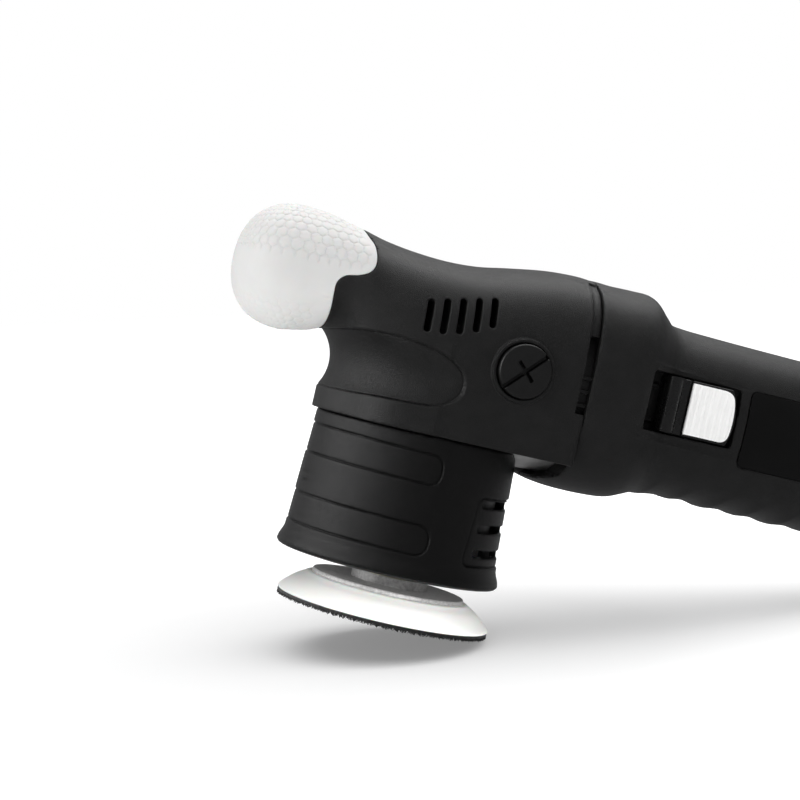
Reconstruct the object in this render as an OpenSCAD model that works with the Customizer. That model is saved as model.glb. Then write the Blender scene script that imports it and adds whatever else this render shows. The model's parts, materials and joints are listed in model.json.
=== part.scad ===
// Dual action polisher: a right-angle head drives a pad that turns freely on an
// eccentric. Millimetres. +X runs back along the handle, +Z up along the drive
// axis, and the pad's hook face lies on Z = 0 with the drive axis at the origin.

/* [Pad] */
// Diameter of the backing pad's hook face
pad_d = 75; // [72:0.5:76]
// Thickness of the whole backing pad
pad_h = 11.5; // [11:0.1:12]
// Diameter of the orbit that the pad's centre runs on
orbit = 12; // [8:0.5:12]
// Where the eccentric stands at rest, turned from +X
orbit_at = -84; // [-180:1:180]

/* [Head] */
// Width of the head across its flat sides
head_w = 74.4; // [73:0.2:76]
// Wall of the moulded covers
wall = 2.3; // [2:0.1:2.4]
// Height of the seam between the shroud and the head cover
seam_z = 65.5; // [65:0.1:66]
// Height of the motor's axis
motor_z = 93.3; // [93:0.1:94]

/* [Shroud] */
// Diameter of the shroud's lip
lip_d = 79.2; // [78:0.2:80]
// Height of the lip above the hook face
lip_z = 16.8; // [16.5:0.1:17.5]

/* [Gears] */
// Teeth on the motor's pinion
pinion_teeth = 9; // [9:1:9]
// Teeth on the crown gear
crown_teeth = 28; // [28:1:28]
// Module at the outer end of the teeth
gear_module = 0.8; // [0.8:0.01:0.8]

/* [Handle] */
// Where the handle's rear end stands
handle_end = 236; // [232:1:240]
// Travel of the slide switch
switch_travel = 6; // [4:0.5:6.5]

/* [Hidden] */
$fn = 64;

// drive and pad
ecc = orbit / 2;                     // the pad axis stands this far from the drive axis
hub_r = 22.8;                        // eccentric hub
pad_bearing = [6, 16, 22, 32];       // bore radius, outer radius, bottom, top
race = 2.1;                          // wall of a bearing ring
spindle_bearings = [[8.5, 17.5, 50, 60], [6, 14, 64, 72]];
motor_bearings = [[3, 9.5, 12.6, 18.2], [3.5, 9.5, 75, 81]];
case_r = 27;                         // gear case around the spindle
barrel_r = 33.2;                     // motor barrel
barrel_wall = 2.3;
brush_x = 21.1;                      // brushes stand here on the commutator
commutator_r = 10;
cap_r = 9.3;
// gears
apex = [0, 0, motor_z];
pinion_r = pinion_teeth * gear_module / 2;
crown_r = crown_teeth * gear_module / 2;
cone_l = sqrt(pinion_r * pinion_r + crown_r * crown_r);
crown_polar = atan(crown_r / pinion_r);
face_w = 3.6;
flank = 25;                          // pressure angle
backlash = 0.16;
// joints between the mouldings
cover_end = 46;
part_gap = 0.15;
slot_x = [42.4, 46];
// slide switch
pocket = [68, 104.6, 83.4, 104.2];   // x and z limits of its pocket
pocket_floor = -23.6;
slider_x = [75, 103.6];
// rear handle
dial_x = 214;
dial_z = 111.5;
dial_r = 11;
gland_z = 88;
gland_bore = 4.1;

// ---- helpers -------------------------------------------------------------
module at_pad() rotate([0, 0, orbit_at]) translate([ecc, 0, 0]) children();
module at_orbit() rotate([0, 0, orbit_at]) children();
module disc(r, z0, z1) translate([0, 0, z0]) cylinder(r = r, h = z1 - z0);
module tube(ro, ri, z0, z1) difference() {
    disc(ro, z0, z1);
    disc(ri, z0 - 1, z1 + 1);
}
module along_x() translate([0, 0, motor_z]) rotate([0, 90, 0]) rotate([0, 0, 180]) children();
module rod_x(r, x0, x1) along_x() disc(r, x0, x1);
module tube_x(ro, ri, x0, x1) along_x() tube(ro, ri, x0, x1);
module rod_y(r, x, z, y0, y1) translate([x, y0, z]) rotate([-90, 0, 0]) cylinder(r = r, h = y1 - y0);
module block(lo, hi) translate(lo) cube(hi - lo);
module both_sides() {
    children();
    mirror([0, 1, 0]) children();
}
module side_plate(points, y0, y1) translate([0, y1, 0]) rotate([90, 0, 0])
    linear_extrude(y1 - y0) polygon(points);
module csk_screw(r, len) {           // head up at z = 0, pointing down, with a cross recess
    difference() {
        union() {
            translate([0, 0, -r * 0.55]) cylinder(r1 = r * 0.5, r2 = r, h = r * 0.55, $fn = 32);
            disc(r * 0.5, -len, -r * 0.5);
        }
        for (a = [0, 90]) rotate([0, 0, a]) block([-r * 0.6, -r * 0.13, -r * 0.3], [r * 0.6, r * 0.13, 1]);
    }
}
module pan_screw(r, len, drop = 0) { // pan head standing on z = 0
    difference() {
        union() {
            disc(r, 0, r * 0.7);
            disc(r * 0.5, -len, 0.01);
        }
        for (a = [0, 90]) rotate([0, 0, a]) block([-r * 0.6, -r * 0.13, r * 0.3], [r * 0.6, r * 0.13, r]);
    }
}
module bearing_inner(b) tube(b[0] + race, b[0], b[2], b[3]);
module bearing_outer(b) {            // outer ring with its seals, clear of the inner ring
    tube(b[1], b[1] - race, b[2], b[3]);
    tube(b[1] - race + 0.3, b[0] + race + 0.25, b[2] + 0.6, b[3] - 0.6);
}

// ---- lofted skins ----------------------------------------------------------
// A station is [x, half width, bottom, top, squareness]; rows between stations are
// Catmull-Rom points, and each row is a superellipse ring.
ring_n = 32;
function power(v, e) = sign(v) * pow(abs(v), e);
function ring(s, in) = [for (i = [0:ring_n - 1]) let(a = 360 * i / ring_n, e = 2 / s[4])
    [s[0], (s[1] - in) * power(cos(a), e),
     (s[2] + s[3]) / 2 + ((s[3] - s[2]) / 2 - in) * power(sin(a), e)]];
function spline(p, q, r, s, t) = 0.5 * (2 * q + (r - p) * t + (2 * p - 5 * q + 4 * r - s) * t * t
    + (3 * q - p - 3 * r + s) * t * t * t);
function rows(st, steps) = [for (i = [0:len(st) - 2], k = [0:steps - 1])
    spline(st[max(i - 1, 0)], st[i], st[i + 1], st[min(i + 2, len(st) - 1)], k / steps),
    st[len(st) - 1]];
module loft(st, in = 0, steps = 2) {
    all = rows(st, steps);
    n = len(all);
    polyhedron(
        points = [for (s = all) each ring(s, in)],
        faces = concat(
            [for (j = [0:n - 2], i = [0:ring_n - 1]) let(k = (i + 1) % ring_n)
                each [[j * ring_n + i, (j + 1) * ring_n + i, (j + 1) * ring_n + k],
                      [j * ring_n + i, (j + 1) * ring_n + k, j * ring_n + k]]],
            [[for (i = [0:ring_n - 1]) i],
             [for (i = [ring_n - 1:-1:0]) (n - 1) * ring_n + i]]),
        convexity = 6);
}
half_w = head_w / 2;
head_stations = [                    // grip knob, neck and head, nose to rear
    [-76.4, 5, 103, 111, 2], [-74.8, 13, 99, 118, 2.1], [-71, 20, 94, 126, 2.2],
    [-64, 25.5, 90, 130.9, 2.3], [-56, 27.5, 88.7, 132, 2.3], [-48, 27.8, 90.4, 131.3, 2.3],
    [-42, 28.4, 90.5, 129.8, 2.4], [-36, 30, 86, 128.5, 2.5], [-28, 32.6, 70, 126.6, 2.7],
    [-18, 35.4, 56, 125.2, 3], [-6, half_w - 0.4, 48, 124.6, 3.2], [6, half_w, 46, 125.4, 3.2],
    [18, half_w, 46, 127.6, 3.2], [30, half_w, 46, 129.6, 3.2], [40, half_w, 46, 130.3, 3.2],
    [cover_end, half_w, 46, 130, 3.2]];
handle_stations = [                  // collar, shoulder, grip and flared end
    [39, half_w - 2, 58, 128, 3], [cover_end, half_w, 56.4, 130, 3.1], [54, half_w, 55.9, 129.9, 3.1],
    [63, half_w - 0.5, 56, 130.1, 3.1], [69, half_w - 2, 56.6, 129.8, 3], [74, 32.6, 58.3, 126, 2.9],
    [79, 29.8, 60, 122.4, 2.8], [86, 28.6, 60.6, 121.4, 2.7], [97, 28, 61.4, 121, 2.7],
    [110, 27.8, 60.6, 120.7, 2.7], [122, 27.6, 60.8, 120.5, 2.7], [136, 27.5, 59.7, 120.3, 2.7],
    [152, 27.4, 60, 120.2, 2.7], [175, 27.4, 61, 120, 2.7], [196, 27.8, 60.6, 120, 2.7],
    [212, 29, 57, 120.6, 2.7], [224, 29.8, 53, 120.8, 2.7], [232, 28, 54, 117.6, 2.6],
    [handle_end, 23.5, 59, 112, 2.5]];
label_stations = [for (s = handle_stations) if (s[0] > 90 && s[0] < 200) s];
grip_stations = [for (s = head_stations) if (s[0] < -17) s];

// ---- backing pad ------------------------------------------------------------
hook_h = 1.6;
foam_top = 10;
disc_r = 26.8;
hub_flange = [13.4, pad_h, 14.6];    // radius, bottom, top
stud_r = 3.9;
module hook_face() color([0.05, 0.05, 0.05]) at_pad() disc(pad_d / 2 - 0.3, 0, hook_h);
module foam_pad() color([0.93, 0.92, 0.88]) at_pad() rotate_extrude() polygon([
    [0, hook_h], [pad_d / 2 - 0.2, hook_h], [pad_d / 2, hook_h + 0.6], [pad_d / 2 - 0.6, hook_h + 1.6],
    [disc_r + 6.2, foam_top - 3.2], [disc_r + 2.4, foam_top - 0.7], [disc_r + 1, foam_top], [0, foam_top]]);
module backing_disc() color([0.55, 0.55, 0.54]) at_pad() rotate_extrude() polygon([
    [0, foam_top], [disc_r, foam_top], [disc_r, pad_h - 0.5], [disc_r - 0.5, pad_h], [0, pad_h]]);
module pad_hub() color([0.45, 0.45, 0.44]) at_pad() {
    disc(hub_flange[0], hub_flange[1], hub_flange[2]);
    disc(stud_r, hub_flange[2] - 0.1, 27);
}
module hub_washer() color([0.86, 0.83, 0.68]) at_pad() tube(12.6, 9.7, hub_flange[2], 16);
// ---- pad spindle, eccentric and counterweight ---------------------------------
hex_r = 16 / sqrt(3);                // 16 mm across flats
module pad_spindle() color([0.75, 0.76, 0.78]) at_pad() difference() {
    union() {
        disc(7.6, hub_flange[2] + 0.05, 16.2);
        translate([0, 0, 16]) cylinder(r = hex_r, h = 4.4, $fn = 6);
        disc(pad_bearing[0] + race - 0.2, 20.2, pad_bearing[2]);
        disc(pad_bearing[0], pad_bearing[2] - 0.1, 40.4);
    }
    disc(stud_r + 0.1, 14, 29);
    translate([0, 0, 14.6]) cylinder(r1 = 5, r2 = stud_r + 0.1, h = 1.1);
    tube(7, pad_bearing[0] - 0.5, 39.2, 39.9);
}
upper_pad_bearing = [6, 14, 33, 39];
module pad_bearing_inner() color([0.78, 0.79, 0.8]) at_pad() {
    bearing_inner(pad_bearing);
    bearing_inner(upper_pad_bearing);
}
module pad_bearing_outer() color([0.3, 0.3, 0.31]) at_pad() {
    bearing_outer(pad_bearing);
    bearing_outer(upper_pad_bearing);
}
module bearing_circlip() color([0.2, 0.2, 0.2]) at_pad() tube(7.4, pad_bearing[0] - 0.4, 39.25, 39.85);
web_z = [41, 46.4];                   // the hub's solid web, which the spindle passes into
module eccentric_hub() color([0.72, 0.72, 0.73]) difference() {
    union() {
        at_pad() disc(hub_r, pad_bearing[2], web_z[1]);
        disc(15, web_z[0], 49.4);
    }
    at_pad() disc(pad_bearing[1], 20, pad_bearing[3]);
    at_pad() disc(upper_pad_bearing[1], pad_bearing[3] - 0.5, web_z[0]);
    disc(8.5, web_z[0] + 0.5, 52);
    at_pad() for (a = screw_angles) rotate([0, 0, 180 + a]) translate([screw_pcr, 0, 0])
        disc(2.05, 20, 31);
}
screw_angles = [-48, 0, 48];
screw_pcr = 19.6;
weight_z = [17.8, 22, 31];           // rim's underside, hub face, rim's top
weight_r = 33.6;
module counterweight() color([0.76, 0.76, 0.77]) difference() {
    intersection() {
        union() {
            at_orbit() translate([2, 0, 0]) tube(weight_r, 24, weight_z[0], weight_z[2]);
            at_pad() disc(28.6, weight_z[0] + 1.6, weight_z[1]);
        }
        at_orbit() translate([-ecc + 5.4 - 40, 0, 0]) block([-40, -60, 0], [40, 60, 60]);
        at_orbit() translate([2, 0, 0]) disc(weight_r, 0, 60);
    }
    at_pad() disc(14.6, 10, 60);
    at_pad() disc(hub_r + 0.15, weight_z[1], 60);
    at_pad() tube(29.2, 20, weight_z[0] - 1, weight_z[0] + 1.6);
    at_pad() for (a = screw_angles) rotate([0, 0, 180 + a]) translate([screw_pcr, 0, 0]) {
        disc(2.1, 10, 40);
        translate([0, 0, weight_z[0] + 1.55]) cylinder(r1 = 4.25, r2 = 2.1, h = 2.35, $fn = 32);
    }
}
module counterweight_screws() color([0.8, 0.8, 0.8]) at_pad() for (a = screw_angles)
    rotate([0, 0, 180 + a]) translate([screw_pcr, 0, weight_z[0] + 1.65]) rotate([180, 0, 20 + a])
        csk_screw(4.05, 11);
// ---- drive spindle and gears --------------------------------------------------
module drive_spindle() color([0.66, 0.67, 0.69]) {
    disc(8.5, web_z[0] + 0.5, 61);
    disc(6, 60.9, 87);
}
crown_root = crown_polar - atan(1.05 * gear_module / cone_l);
crown_tip = crown_polar + atan(0.66 * gear_module / cone_l);
module crown_teeth_ring(base) {      // one closed skin; the tooth faces all run to the apex
    half = 90 * (1 - backlash / (PI * gear_module / 2)) / crown_teeth;
    slope = tan(flank) * 180 / PI / sin(crown_polar) * gear_module / cone_l;
    corners = [[-half - 1.05 * slope, crown_root], [-half + 0.66 * slope, crown_tip],
        [half - 0.66 * slope, crown_tip], [half + 1.05 * slope, crown_root]];
    spots = [for (i = [0:crown_teeth - 1], c = corners) [(i + 0.5) * 360 / crown_teeth + c[0], c[1]]];
    n = len(spots);
    ends = [cone_l - face_w, cone_l];
    polyhedron(
        points = concat(
            [for (l = ends, s = spots)
                apex + l * [sin(s[1]) * cos(s[0]), sin(s[1]) * sin(s[0]), -cos(s[1])]],
            [for (l = [ends[1], ends[0]], s = spots)
                [l * sin(crown_root) * cos(s[0]), l * sin(crown_root) * sin(s[0]), base]]),
        faces = [for (q = [0:3], j = [0:n - 1])
            let(a = q * n, b = ((q + 1) % 4) * n, k = (j + 1) % n)
            each [[a + j, a + k, b + k], [a + j, b + k, b + j]]]);
}
module crown_gear() color([0.6, 0.58, 0.54]) {
    crown_teeth_ring(85.4);
    rotate_extrude() polygon([[6, 78], [9.5, 78], [11.6, 82], [11.6, 86], [11, 86.6], [6, 86.6]]);
}
module gear_nut() color([0.5, 0.5, 0.5]) tube(9.2, 6, 75.2, 78);
function involute(rb, a) = let(t = a * PI / 180) rb * [cos(a) + t * sin(a), sin(a) - t * cos(a)];
function turned(p, a) = [p[0] * cos(a) - p[1] * sin(a), p[0] * sin(a) + p[1] * cos(a)];
module pinion_profile() {
    base = pinion_r * cos(flank);
    tip = pinion_r + 0.86 * gear_module;
    root = pinion_r - 0.82 * gear_module;
    roll = sqrt(pow(pinion_r / base, 2) - 1) * 180 / PI;
    tip_roll = sqrt(pow(tip / base, 2) - 1) * 180 / PI;
    at_pitch = involute(base, roll);
    lean = atan(at_pitch[1] / at_pitch[0]) + 90 * (1 - backlash / (PI * gear_module / 2)) / pinion_teeth;
    side = [for (k = [0:5]) involute(base, tip_roll * k / 5)];
    polygon([for (i = [0:pinion_teeth - 1]) let(a = 360 * i / pinion_teeth) each concat(
        [turned([root, 0], a - lean - 2)], [for (p = side) turned(p, a - lean)],
        [for (k = [5:-1:0]) turned([side[k][0], -side[k][1]], a + lean)],
        [turned([root, 0], a + lean + 2)])]);
}
module pinion() color([0.62, 0.6, 0.56]) {
    inner = (cone_l - face_w) / cone_l;
    intersection() {
        translate([crown_r, 0, motor_z]) rotate([0, -90, 0])
            linear_extrude(height = crown_r * (1 - inner), scale = inner) rotate(180) pinion_profile();
        difference() {
            rod_x(8, 0, crown_r + 1);
            rod_x(2.2, -1, 40);
        }
    }
}
// ---- gear case and lower bearing retainer --------------------------------------
module gear_case() color([0.74, 0.75, 0.76]) difference() {
    union() {
        disc(case_r, 49.6, 104);
        rod_x(29, 9, 28);
        rod_x(barrel_r, 27.6, 35);
        at_motor_screws() disc(3.3, 20, 28.2);
    }
    disc(spindle_bearings[0][1], 49, spindle_bearings[0][3] + 0.5);
    disc(12.5, 60, 64);
    disc(spindle_bearings[1][1], spindle_bearings[1][2] - 0.5, 74);
    disc(12.7, 74 - 0.1, 98);
    rod_x(motor_bearings[0][1], 5, motor_bearings[0][3] + 0.5);
    rod_x(25.5, motor_bearings[0][3] + 0.4, 36);
    rod_x(31.1, 28.9, 36);
    rod_y(7.3, brush_x, motor_z, -40, 40);
    for (a = [45:90:315]) rotate([0, 0, a]) translate([22, 0, 0]) disc(1.6, 49, 60);
    at_motor_screws() disc(1.3, 24, 30);
}
module bearing_retainer() color([0.6, 0.6, 0.62]) difference() {
    tube(26.6, 15.6, 47.3, 49.6);
    for (a = [45:90:315]) rotate([0, 0, a]) translate([22, 0, 47.2]) cylinder(r1 = 3.2, r2 = 1.6, h = 1.76);
    for (a = [45:90:315]) rotate([0, 0, a]) translate([22, 0, 0]) disc(1.6, 40, 60);
}
module retainer_screws() color([0.3, 0.3, 0.3]) for (a = [45:90:315]) rotate([0, 0, a])
    translate([22, 0, 47.35]) mirror([0, 0, 1]) csk_screw(3, 10);
module spindle_bearing_inner() color([0.78, 0.79, 0.8]) for (b = spindle_bearings) bearing_inner(b);
module spindle_bearing_outer() color([0.3, 0.3, 0.31]) for (b = spindle_bearings) bearing_outer(b);
// ---- shroud ---------------------------------------------------------------------
shroud_top = seam_z - part_gap;
shroud_screw_at = [135, 225];
module shroud() color([0.09, 0.09, 0.09]) difference() {
    rotate_extrude() polygon([
        [lip_d / 2 - 3, lip_z + 0.2], [lip_d / 2 - 2, lip_z], [lip_d / 2 - 0.8, lip_z + 0.2],
        [lip_d / 2, lip_z + 1.2], [lip_d / 2 - 0.4, lip_z + 3], [lip_d / 2 - 1.7, lip_z + 6.2],
        [35.9, shroud_top - 0.6], [35.5, shroud_top], [case_r + 0.2, shroud_top],
        [case_r + 0.2, shroud_top - 3], [33.2, shroud_top - 3], [lip_d / 2 - 4.4, lip_z + 6]]);
    rod_x(barrel_r + 0.5, 9, 60);
    for (z = [29.4, 38, 46.4]) both_sides() rotate([0, 0, 8]) translate([0, 0, z])
        rotate_extrude(angle = 50) translate([25, -1.25]) square([20, 2.5]);
    for (a = shroud_screw_at) rotate([0, 0, a]) translate([30.4, 0, 0]) disc(1.7, 50, 70);
}
module shroud_screws() color([0.3, 0.3, 0.3]) for (a = shroud_screw_at) rotate([0, 0, a])
    translate([30.4, 0, shroud_top - 3]) mirror([0, 0, 1]) pan_screw(2.5, 10);
// ---- head cover and front grip -------------------------------------------------
core_in = 3.2;                       // rubber thickness of the grip
module grip_region(gap = 0) side_plate([
    [-90, 80], [-42.6 + gap, 80], [-44.4 + gap, 97], [-45.8 + gap, 106], [-45 + gap, 109.2 - gap],
    [-43 + gap, 111 - gap], [-38 + gap, 112 - gap], [-35 + gap, 114.4 - gap], [-33.9 + gap, 118],
    [-34.6 + gap, 123], [-37 + gap, 127.5], [-38 + gap, 140], [-90, 140]], -50, 50);
module waist(grow = 0) {
    rotate([0, 0, 84]) rotate_extrude(angle = 192, $fn = 48) translate([51, 81])
        circle(r = 14.8 + grow, $fn = 32);
    both_sides() translate([-13, 49, 84.4]) scale([1.42, 1.16, 0.86])
        sphere(r = 12.2 + grow, $fn = 32);
}
module head_solid(in) difference() {
    union() {
        loft(head_stations, in, in > 0 ? 1 : 2);
        difference() {
            disc(38 - in, seam_z - 0.2, 98 - in);
            block([-4, -60, 0], [60, 60, 140]);
        }
    }
    waist(in);
    block([-99, -99, -20], [99, 99, seam_z - (in > 0 ? 1 : 0)]);
}
module grip_core(extra = 0) intersection() {  // what the rubber grip is moulded over
    loft(grip_stations, core_in + extra, 1);
    block([-72.6 + extra, -60, 80], [-30, 60, 140]);
}
module head_cover() color([0.1, 0.1, 0.1]) difference() {
    union() {
        difference() {
            head_solid(0);
            grip_region(part_gap);
        }
        grip_core(0.05);
        both_sides() rod_y(10.9, brush_x, motor_z, 34, half_w + 1.2);
    }
    difference() {
        head_solid(wall);
        block([-99, -99, 0], [-33, 99, 140]);
        for (a = shroud_screw_at) rotate([0, 0, a]) {
            translate([30.4, 0, 0]) disc(3.1, 60, 76);
            block([30.4, -3, 60], [37, 3, 76]);
        }
    }
    for (a = shroud_screw_at) rotate([0, 0, a]) translate([30.4, 0, 0]) disc(1.3, 60, 74);
    translate([-60, 0, 110.4]) rotate([0, 90, 0]) disc(13, 0, 30);
    block([cover_end - part_gap, -60, 0], [60, 60, 140]);
    // brush ports, exhaust slots and intake slots
    rod_y(cap_r + 0.3, brush_x, motor_z, -50, 50);
    both_sides() for (i = [0:4]) translate([-14.2 + 5.45 * i, 25, 0])
        hull() for (z = [100 + i * i * 0.38, 108.6 + i * 1.3]) translate([0, 0, z])
            rotate([-90, 0, 0]) cylinder(r = 1.15, h = 20, $fn = 16);
    both_sides() block([slot_x[0], 30, 83.5], [slot_x[1] + 1, 45, 110]);
}
module front_grip() color([0.94, 0.94, 0.93]) difference() {
    intersection() {
        loft(grip_stations);
        grip_region();
    }
    grip_core();
}
// ---- motor ------------------------------------------------------------------------
module motor_barrel() color([0.74, 0.75, 0.76]) tube_x(barrel_r, barrel_r - barrel_wall, 35, 64);
stack_x = [35.6, 59.4];
module stator_core() color([0.35, 0.35, 0.38]) difference() {
    tube_x(30.8, 17.7, stack_x[0], stack_x[1]);
    both_sides() block([30, 17, motor_z - 9], [64, 27, motor_z + 9]);
    at_motor_screws() disc(2.1, 30, 66);
}
module field_coils() color([0.72, 0.4, 0.2]) both_sides() difference() {
    intersection() {
        block([stack_x[0] - 5, 18.5, motor_z - 8.8], [stack_x[1] + 4.4, 26.6, motor_z + 8.8]);
        rod_x(27.3, 28, 66);
    }
    block([stack_x[0] - 0.2, 17, motor_z - 3], [stack_x[1] + 0.2, 30, motor_z + 3]);
}
motor_screw_at = [18, 162, 198, 342];
module at_motor_screws() along_x() for (a = motor_screw_at) rotate([0, 0, a])
    translate([29, 0, 0]) children();
module motor_end_plate() color([0.2, 0.2, 0.2]) {
    difference() {
        union() {
            tube_x(barrel_r - barrel_wall - 0.05, 27.6, 60, 64);
            tube_x(barrel_r, 27.6, 64, 66);
        }
        at_motor_screws() disc(1.5, 56, 70);
    }
    for (a = [45:90:315]) along_x() rotate([0, 0, a]) {
        block([25.2, -3, 64], [28.4, 3, 76]);
        block([12, -3, 74.6], [28.4, 3, 76.6]);
    }
    tube_x(12.4, 9.5, 74.6, 81.6);
}
module motor_screws() color([0.3, 0.3, 0.3]) at_motor_screws() translate([0, 0, 66]) pan_screw(2.6, 41);
module motor_bearing_inner() color([0.78, 0.79, 0.8]) along_x() for (b = motor_bearings) bearing_inner(b);
module motor_bearing_outer() color([0.3, 0.3, 0.31]) along_x() for (b = motor_bearings) bearing_outer(b);
module armature_shaft() color([0.66, 0.67, 0.69]) {
    rod_x(2.2, crown_r - 3.4, crown_r + 0.1);
    rod_x(3, crown_r, 18.4);
    rod_x(4.5, 18.3, 74.9);
    rod_x(3.5, 74.8, 81.4);
}
module armature_core() color([0.35, 0.35, 0.38]) difference() {
    tube_x(17, 4.5, 35, 60);
    for (i = [0:11]) along_x() rotate([0, 0, i * 30]) block([13, -1, 30], [18, 1, 70]);
}
module armature_windings() color([0.72, 0.4, 0.2]) {
    for (x = [[28.4, 35], [60, 64.6]]) along_x() rotate_extrude() polygon([
        [4.5, x[0] + 0.6], [9, x[0]], [14.6, x[0] + 1.8], [15.4, (x[0] + x[1]) / 2],
        [15.4, x[1]], [4.5, x[1]]]);
}
module commutator() color([0.75, 0.45, 0.25]) difference() {
    union() {
        tube_x(commutator_r, 4.5, 18.7, 25);
        tube_x(commutator_r + 1.4, 4.5, 24.9, 28.2);
    }
    for (i = [0:23]) along_x() rotate([0, 0, i * 15]) block([9.2, -0.2, 18], [12, 0.2, 29]);
}
module cooling_fan() color([0.16, 0.16, 0.17]) {
    tube_x(20, 4.5, 66.4, 67.8);
    tube_x(7, 4.5, 67.7, 73.4);
    for (i = [0:10]) along_x() rotate([0, 0, i * 360 / 11]) translate([6.5, 0, 0]) rotate([0, 0, 12])
        block([0, -0.6, 67.6], [13, 0.6, 73.4]);
}
// ---- brushes ------------------------------------------------------------------------
module brush_holders() color([0.72, 0.6, 0.3]) both_sides() difference() {
    rod_y(7.25, brush_x, motor_z, 12, 33.6);
    block([brush_x - 2.6, 10, motor_z - 4.1], [brush_x + 2.6, 32, motor_z + 4.1]);
    rod_y(4.6, brush_x, motor_z, 24, 34);
}
module carbon_brushes() color([0.15, 0.15, 0.16]) both_sides() difference() {
    block([brush_x - 2.5, commutator_r - 0.8, motor_z - 4], [brush_x + 2.5, 23, motor_z + 4]);
    rod_x(commutator_r + 0.1, 0, 40);
}
module brush_springs() color([0.6, 0.6, 0.6]) both_sides() translate([brush_x, 23.05, motor_z])
    rotate([-90, 0, 0]) difference() {
        cylinder(r = 2.4, h = 10.4);
        translate([0, 0, -1]) cylinder(r = 1.5, h = 20);
        for (i = [0:5]) translate([0, 0, 1.1 + i * 1.6]) tube(4, 1.9, 0, 0.8);
    }
module brush_cap() translate([brush_x, half_w - 3.5, motor_z]) rotate([-90, 0, 0]) difference() {
    union() {
        cylinder(r = 4.5, h = 2);
        cylinder(r = cap_r - 0.9, h = 4);
        translate([0, 0, 0.4]) cylinder(r = cap_r, h = 5.7);
        translate([0, 0, 6.05]) cylinder(r1 = cap_r, r2 = cap_r - 0.7, h = 0.8);
    }
    rotate([0, 0, -45]) block([-10, -0.6, 5], [10, 0.6, 8]);
    rotate([0, 0, -45]) block([-0.55, -4.6, 5], [0.55, 4.6, 8]);
}
module brush_cap_left() color([0.1, 0.1, 0.1]) brush_cap();
module brush_cap_right() color([0.1, 0.1, 0.1]) mirror([0, 1, 0]) brush_cap();
// ---- handle shells --------------------------------------------------------------------
module handle_front(gap = 0) side_plate([  // the collar's front edge, which reaches under the barrel
    [cover_end + gap, 140], [cover_end + gap, 66], [45 + gap, 61.5], [42.5 + gap, 59.6], [40 + gap, 58.6],
    [39 + gap, 40], [300, 40], [300, 140]], -60, 60);
post_at = [[112, 66.5], [112, 114.5], [165, 66], [165, 114.5], [206, 66], [198, 113]];
module handle_shell() difference() {
    union() {
        difference() {
            intersection() {
                loft(handle_stations);
                handle_front();
            }
            difference() {
                loft(handle_stations, wall, 1);
                block([handle_end - wall, -60, 0], [300, 60, 140]);
                translate([0, pocket_floor + 1.8 - 20, 0])
                    block([pocket[0] - 2, -20, pocket[2] - 2], [pocket[1] + 2, 20, pocket[3] + 2]);
            }
        }
        for (p = post_at) rod_y(4.2, p[0], p[1], -14.6, 14.6);
        both_sides() rod_y(4, dial_x, dial_z, 4.6, 19.5);
        for (r = [[118, 82], [139, 82], [156, 72], [162, 72], [176, 74], [194, 74]])
            block([r[0], -8, 62], [r[0] + 2, 8, r[1]]);   // ribs that seat the inner parts
        translate([handle_end - 22, 0, gland_z]) rotate([0, 90, 0]) tube(11.4, 8.05, 0, 20);
        intersection() {                  // spigot that locates in the head cover, with its ribs
            union() {
                tube_x(34.6, 33.7, 40, 47);
                tube_x(36.2, 33.7, cover_end + 0.1, 48.5);
                for (z = [86.4, 91.2, 95.8]) both_sides()
                    block([42, 33.6, z - 0.7], [cover_end + 1, 34.8, z + 0.7]);
            }
            block([30, -50, 67], [60, 50, 120]);
        }
    }
    rod_x(barrel_r + 0.4, 30, 66.5);
    // switch pocket and the slot its stem runs in
    block([pocket[0], -60, pocket[2]], [pocket[1], pocket_floor, pocket[3]]);
    block([84, -60, 89], [103.5, 0, 98.4]);
    // label recesses on both sides
    intersection() {
        difference() {
            loft(label_stations, -1);
            loft(label_stations, 0.7);
        }
        both_sides() block([108.2, 15, 77.5], [172, 40, 105]);
    }
    // dial window, rear gland bore and screw holes
    block([dial_x - 12.4, -4.2, 108], [dial_x + 12.4, 4.2, 140]);
    translate([handle_end - 30, 0, gland_z]) rotate([0, 90, 0]) disc(8.05, 0, 40);
    for (p = post_at) {
        rod_y(1.45, p[0], p[1], -8, 50);
        rod_y(3.2, p[0], p[1], 12, 50);
    }
    rod_y(2.1, dial_x, dial_z, -7.4, 7.4);
    for (z = [72, 80, 96, 104]) block([handle_end - 8, -24, z - 1.1], [handle_end + 5, -11, z + 1.1]);
    for (z = [72, 80, 96, 104]) block([handle_end - 8, 11, z - 1.1], [handle_end + 5, 24, z + 1.1]);
}
module handle_right() color([0.12, 0.12, 0.12]) difference() {
    handle_shell();
    block([0, -0.05, 0], [300, 80, 140]);
}
module handle_left() color([0.12, 0.12, 0.12]) difference() {
    handle_shell();
    block([0, -80, 0], [300, 0.05, 140]);
}
module handle_screws() color([0.3, 0.3, 0.3]) for (p = post_at)
    translate([p[0], 12, p[1]]) rotate([-90, 0, 0]) pan_screw(2.9, 19);
module label_plate() intersection() {
    difference() {
        loft(label_stations, -0.05);
        loft(label_stations, 0.7);
    }
    block([108.4, 15, 77.7], [171.8, 40, 104.8]);
}
module label_plate_left() color([0.05, 0.05, 0.05]) label_plate();
module label_plate_right() color([0.05, 0.05, 0.05]) mirror([0, 1, 0]) label_plate();
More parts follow.
